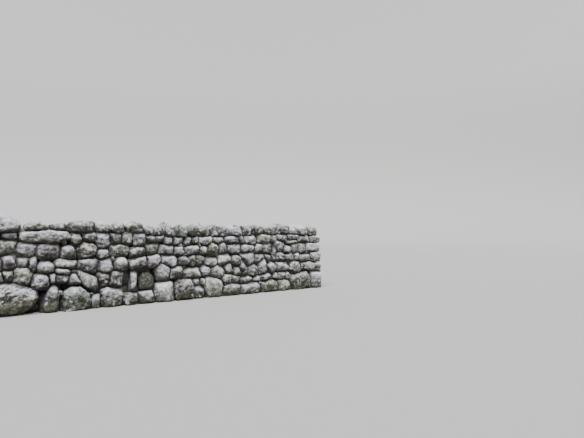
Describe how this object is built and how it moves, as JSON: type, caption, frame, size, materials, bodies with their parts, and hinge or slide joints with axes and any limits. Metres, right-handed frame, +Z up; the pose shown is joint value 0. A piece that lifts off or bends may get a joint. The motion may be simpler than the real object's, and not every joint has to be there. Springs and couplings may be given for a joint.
{
  "type": "dry stone wall",
  "caption": "Straight run of mortarless limestone rubble wall with footing boulders, two leaning faces, hearting, through stones, plain heads and a rough cope.",
  "frame": {"origin": "on the ground, under the middle of the centre footing stone, halfway along the wall and halfway through its base", "axes": "+X along the wall, to the right as seen from the front; -Y out of the front face; +Z up"},
  "size_m": [7.2, 0.876, 1.62],
  "materials": {
    "cope_limestone": "weathered pale grey limestone with lichen",
    "face_limestone": "weathered grey-brown limestone with pits and pale lichen",
    "footing_limestone": "weathered limestone with moss and soil stains near the ground",
    "boulder_limestone": "pale worn limestone, ochre on the underside",
    "hearting_limestone": "dark rough limestone in shade"
  },
  "bodies": {
    "root": {"great_footing_boulder": "boulder_limestone", "leaning_footing_slab": "footing_limestone", "square_footing_block": "footing_limestone", "centre_footing_stone": "footing_limestone", "long_cope_slab": "cope_limestone", "corner_cope_boulder": "cope_limestone", "left_wall_head": "face_limestone", "right_wall_head": "face_limestone", "through_stone_1": "face_limestone", "through_stone_2": "face_limestone", "through_stone_3": "face_limestone", "through_stone_4": "face_limestone", "through_stone_5": "face_limestone", "bay_1_footing_stones": "footing_limestone", "bay_2_footing_stones": "footing_limestone", "bay_3_footing_stones": "footing_limestone", "bay_4_footing_stones": "footing_limestone", "bay_5_footing_stones": "footing_limestone", "bay_6_footing_stones": "footing_limestone", "bay_1_front_face": "face_limestone", "bay_2_front_face": "face_limestone", "bay_3_front_face": "face_limestone", "bay_4_front_face": "face_limestone", "bay_5_front_face": "face_limestone", "bay_6_front_face": "face_limestone", "bay_1_back_face": "face_limestone", "bay_2_back_face": "face_limestone", "bay_3_back_face": "face_limestone", "bay_4_back_face": "face_limestone", "bay_5_back_face": "face_limestone", "bay_6_back_face": "face_limestone", "bay_1_hearting": "hearting_limestone", "bay_2_hearting": "hearting_limestone", "bay_3_hearting": "hearting_limestone", "bay_4_hearting": "hearting_limestone", "bay_5_hearting": "hearting_limestone", "bay_6_hearting": "hearting_limestone", "bay_1_cope_stones": "cope_limestone", "bay_2_cope_stones": "cope_limestone", "bay_3_cope_stones": "cope_limestone", "bay_4_cope_stones": "cope_limestone", "bay_5_cope_stones": "cope_limestone", "bay_6_cope_stones": "cope_limestone"}
  },
  "joints": []
}
